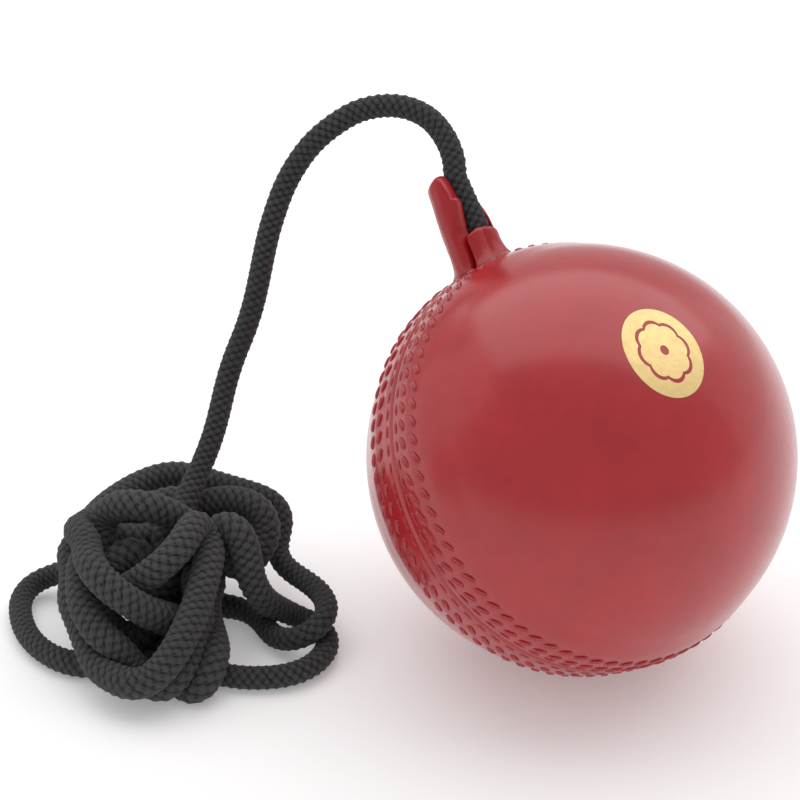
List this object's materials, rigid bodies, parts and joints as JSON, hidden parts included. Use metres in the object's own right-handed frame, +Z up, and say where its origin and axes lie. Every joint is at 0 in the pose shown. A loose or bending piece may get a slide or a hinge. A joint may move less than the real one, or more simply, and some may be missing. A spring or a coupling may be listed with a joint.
{
  "type": "tetherball set",
  "caption": "Stitched ball on a braided cord that is knotted inside it, leaves through a leather sleeve at the seam and ends in a loose hank.",
  "frame": {"origin": "on the surface that the ball stands on, straight below the ball's centre", "axes": "+Z up, -Y towards the front, -X towards the hank of cord"},
  "size_m": [0.1364, 0.0729, 0.0881],
  "materials": {
    "red_leather": "lacquered, high gloss",
    "red_thread": "waxed thread",
    "black_braid": "braided sleeve, matt",
    "cork": "matt",
    "twine": "matt"
  },
  "bodies": {
    "cord": {"cord_arch": "black_braid", "cord_hank": "black_braid", "cord_rear_loop": "black_braid", "cord_left_loop": "black_braid", "cord_front_loop": "black_braid", "cord_right_loop": "black_braid"},
    "neck": {"cord_neck": "black_braid"},
    "tether": {"cord_inner": "black_braid", "stopper_knot": "black_braid"},
    "ball": {"front_cover": "red_leather", "rear_cover": "red_leather", "front_stitch_row_1": "red_thread", "front_stitch_row_2": "red_thread", "front_stitch_row_3": "red_thread", "rear_stitch_row_1": "red_thread", "rear_stitch_row_2": "red_thread", "rear_stitch_row_3": "red_thread", "core": "cork", "inner_winding": "twine", "cork_layer": "cork", "outer_winding": "twine", "rear_tongue": "red_leather", "front_tongue": "red_leather"}
  },
  "joints": [
    {"name": "swing_side", "type": "hinge", "parent": "cord", "child": "neck", "pos_m": [-0.02295, 0.02986, 0.08247], "axis": [0, -1, 0], "range_deg": [-3, 90]},
    {"name": "swing_fore", "type": "hinge", "parent": "neck", "child": "tether", "pos_m": [-0.02086, 0.0254, 0.0763], "axis": [-1, 0, 0], "range_deg": [-3, 38]},
    {"name": "ball_twist", "type": "hinge", "parent": "tether", "child": "ball", "pos_m": [0, 0, 0.036], "axis": [-0.4012, 0.4884, 0.7749], "continuous": true}
  ]
}
